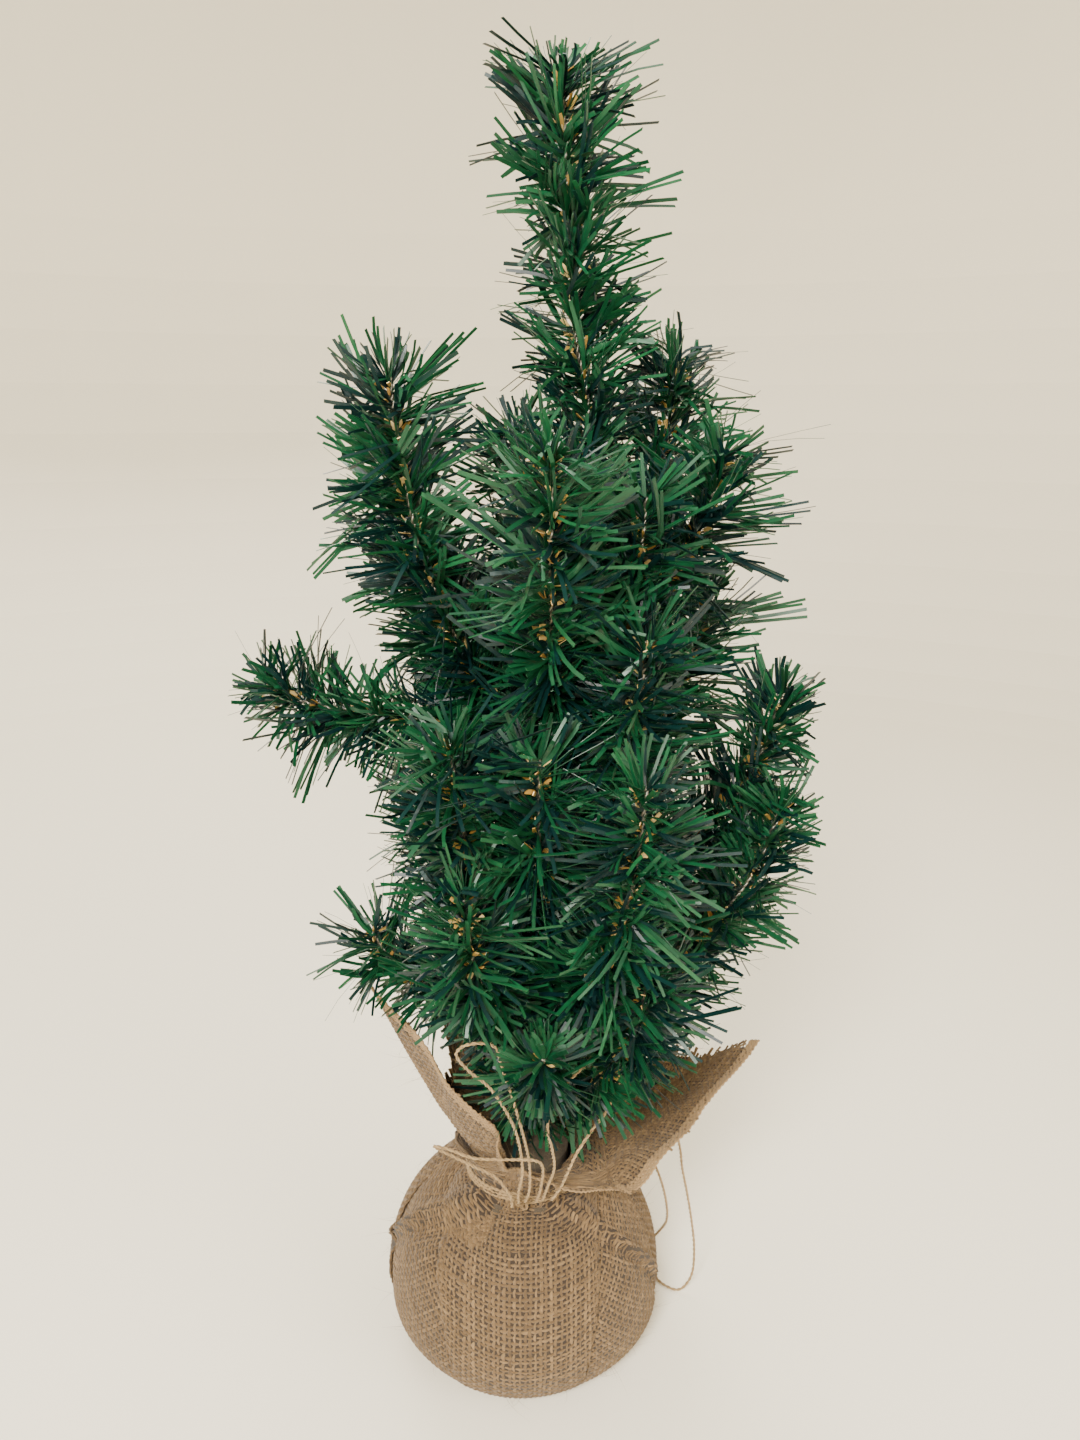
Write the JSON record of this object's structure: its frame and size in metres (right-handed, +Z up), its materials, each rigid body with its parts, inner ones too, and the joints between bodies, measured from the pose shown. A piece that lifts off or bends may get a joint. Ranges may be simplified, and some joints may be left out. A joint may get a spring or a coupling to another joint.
{
  "type": "artificial tabletop tree",
  "caption": "Small artificial fir tree whose needle-covered wire branches bend at the trunk, on a weight wrapped in a gathered burlap square tied with jute twine.",
  "frame": {"origin": "centre of the flat underside of the burlap-wrapped weight", "axes": "+Z up along the trunk, -Y to the front where the twine is knotted, +X to the right seen from the front"},
  "size_m": [0.2321, 0.1736, 0.5583],
  "materials": {
    "cement": "matte",
    "burlap": "matte",
    "jute": "matte",
    "steel": "satin",
    "tape": "matte",
    "wire": "satin",
    "needles": "satin"
  },
  "bodies": {
    "stand": {"base_weight": "cement", "burlap_wrap": "burlap", "twine_tie": "jute", "trunk_rod": "steel", "trunk_wrap": "tape", "twine_bow_left": "jute", "twine_bow_low": "jute", "twine_tail_middle": "jute", "twine_tail_right": "jute", "twine_loop_back": "jute"},
    "branch_01": {"branch_01_wire": "wire", "branch_01_needles": "needles"},
    "branch_02": {"branch_02_wire": "wire", "branch_02_needles": "needles"},
    "branch_03": {"branch_03_wire": "wire", "branch_03_needles": "needles"},
    "branch_04": {"branch_04_wire": "wire", "branch_04_needles": "needles"},
    "branch_05": {"branch_05_wire": "wire", "branch_05_needles": "needles"},
    "branch_06": {"branch_06_wire": "wire", "branch_06_needles": "needles"},
    "branch_07": {"branch_07_wire": "wire", "branch_07_needles": "needles"},
    "branch_08": {"branch_08_wire": "wire", "branch_08_needles": "needles"},
    "branch_09": {"branch_09_wire": "wire", "branch_09_needles": "needles"},
    "branch_10": {"branch_10_wire": "wire", "branch_10_needles": "needles"},
    "branch_11": {"branch_11_wire": "wire", "branch_11_needles": "needles"},
    "branch_12": {"branch_12_wire": "wire", "branch_12_needles": "needles"},
    "branch_13": {"branch_13_wire": "wire", "branch_13_needles": "needles"},
    "branch_14": {"branch_14_wire": "wire", "branch_14_needles": "needles"},
    "branch_15": {"branch_15_wire": "wire", "branch_15_needles": "needles"},
    "branch_16": {"branch_16_wire": "wire", "branch_16_needles": "needles"},
    "branch_17": {"branch_17_wire": "wire", "branch_17_needles": "needles"},
    "branch_18": {"branch_18_wire": "wire", "branch_18_needles": "needles"},
    "branch_19": {"branch_19_wire": "wire", "branch_19_needles": "needles"},
    "branch_20": {"branch_20_wire": "wire", "branch_20_needles": "needles"},
    "branch_21": {"branch_21_wire": "wire", "branch_21_needles": "needles"},
    "branch_22": {"branch_22_wire": "wire", "branch_22_needles": "needles"},
    "branch_23": {"branch_23_wire": "wire", "branch_23_needles": "needles"},
    "branch_24": {"branch_24_wire": "wire", "branch_24_needles": "needles"},
    "leader": {"leader_wire": "wire", "leader_needles": "needles"}
  },
  "joints": [
    {"name": "branch_01_bend", "type": "hinge", "parent": "stand", "child": "branch_01", "pos_m": [0.00233, -0.00628, 0.134], "axis": [0.9962, 0.0872, 0], "range_deg": [-20, 6]},
    {"name": "branch_02_bend", "type": "hinge", "parent": "stand", "child": "branch_02", "pos_m": [0.00583, -0.00483, 0.134], "axis": [0.766, 0.6428, 0], "range_deg": [-20, 10]},
    {"name": "branch_03_bend", "type": "hinge", "parent": "stand", "child": "branch_03", "pos_m": [0.00783, 0.00174, 0.134], "axis": [-0.2756, 0.9613, 0], "range_deg": [-20, 16]},
    {"name": "branch_04_bend", "type": "hinge", "parent": "stand", "child": "branch_04", "pos_m": [0.00309, 0.00616, 0.134], "axis": [-0.9781, 0.2079, 0], "range_deg": [-20, 14]},
    {"name": "branch_05_bend", "type": "hinge", "parent": "stand", "child": "branch_05", "pos_m": [-0.00193, -0.00088, 0.177], "axis": [0.1392, -0.9903, 0], "range_deg": [-20, 16]},
    {"name": "branch_06_bend", "type": "hinge", "parent": "stand", "child": "branch_06", "pos_m": [0.00247, -0.00602, 0.177], "axis": [0.9563, -0.2924, 0], "range_deg": [-4, 8]},
    {"name": "branch_07_bend", "type": "hinge", "parent": "stand", "child": "branch_07", "pos_m": [0.00698, -0.00571, 0.177], "axis": [0.9063, 0.4226, 0], "range_deg": [-6, 60]},
    {"name": "branch_08_bend", "type": "hinge", "parent": "stand", "child": "branch_08", "pos_m": [0.01057, -0.00077, 0.177], "axis": [0.1219, 0.9925, 0], "range_deg": [-6, 46]},
    {"name": "branch_09_bend", "type": "hinge", "parent": "stand", "child": "branch_09", "pos_m": [-0.00006, 0.00453, 0.177], "axis": [-0.7193, -0.6947, 0], "range_deg": [-20, 48]},
    {"name": "branch_10_bend", "type": "hinge", "parent": "stand", "child": "branch_10", "pos_m": [0.00451, -0.00566, 0.22], "axis": [0.8988, -0.4384, 0], "range_deg": [-20, 8]},
    {"name": "branch_11_bend", "type": "hinge", "parent": "stand", "child": "branch_11", "pos_m": [0.00727, -0.0063, 0.22], "axis": [1, 0, 0], "range_deg": [-14, 46]},
    {"name": "branch_12_bend", "type": "hinge", "parent": "stand", "child": "branch_12", "pos_m": [0.01356, 0.00033, 0.22], "axis": [-0.0523, 0.9986, 0], "range_deg": [-20, 60]},
    {"name": "branch_13_bend", "type": "hinge", "parent": "stand", "child": "branch_13", "pos_m": [0.01106, 0.00503, 0.22], "axis": [-0.7986, 0.6018, 0], "range_deg": [-20, 60]},
    {"name": "branch_14_bend", "type": "hinge", "parent": "stand", "child": "branch_14", "pos_m": [0.01369, -0.00546, 0.263], "axis": [0.866, 0.5, 0], "range_deg": [-8, 18]},
    {"name": "branch_15_bend", "type": "hinge", "parent": "stand", "child": "branch_15", "pos_m": [0.01638, 0.00236, 0.263], "axis": [-0.3746, 0.9272, 0], "range_deg": [-12, 60]},
    {"name": "branch_16_bend", "type": "hinge", "parent": "stand", "child": "branch_16", "pos_m": [0.00788, 0.00571, 0.263], "axis": [-0.9063, -0.4226, 0], "range_deg": [-18, 60]},
    {"name": "branch_17_bend", "type": "hinge", "parent": "stand", "child": "branch_17", "pos_m": [0.01385, -0.0063, 0.306], "axis": [0.9994, -0.0349, 0], "range_deg": [-20, 26]},
    {"name": "branch_18_bend", "type": "hinge", "parent": "stand", "child": "branch_18", "pos_m": [0.01828, -0.00468, 0.306], "axis": [0.7431, 0.6691, 0], "range_deg": [-20, 60]},
    {"name": "branch_19_bend", "type": "hinge", "parent": "stand", "child": "branch_19", "pos_m": [0.00831, -0.00256, 0.306], "axis": [0.4067, -0.9135, 0], "range_deg": [-16, 60]},
    {"name": "branch_20_bend", "type": "hinge", "parent": "stand", "child": "branch_20", "pos_m": [0.00777, 0.00011, 0.306], "axis": [-0.0175, -0.9998, 0], "range_deg": [-20, 54]},
    {"name": "branch_21_bend", "type": "hinge", "parent": "stand", "child": "branch_21", "pos_m": [0.0085, 0.00296, 0.306], "axis": [-0.4695, -0.8829, 0], "range_deg": [-20, 60]},
    {"name": "branch_22_bend", "type": "hinge", "parent": "stand", "child": "branch_22", "pos_m": [0.02395, -0.00142, 0.349], "axis": [0.225, 0.9744, 0], "range_deg": [-20, 60]},
    {"name": "branch_23_bend", "type": "hinge", "parent": "stand", "child": "branch_23", "pos_m": [0.02303, 0.00352, 0.349], "axis": [-0.5592, 0.829, 0], "range_deg": [-18, 32]},
    {"name": "branch_24_bend", "type": "hinge", "parent": "stand", "child": "branch_24", "pos_m": [0.01576, 0.00596, 0.349], "axis": [-0.9455, -0.3256, 0], "range_deg": [-20, 46]},
    {"name": "leader_bend", "type": "hinge", "parent": "stand", "child": "leader", "pos_m": [0.021, 0, 0.3853], "axis": [0, 1, 0], "range_deg": [-16, 30]}
  ]
}
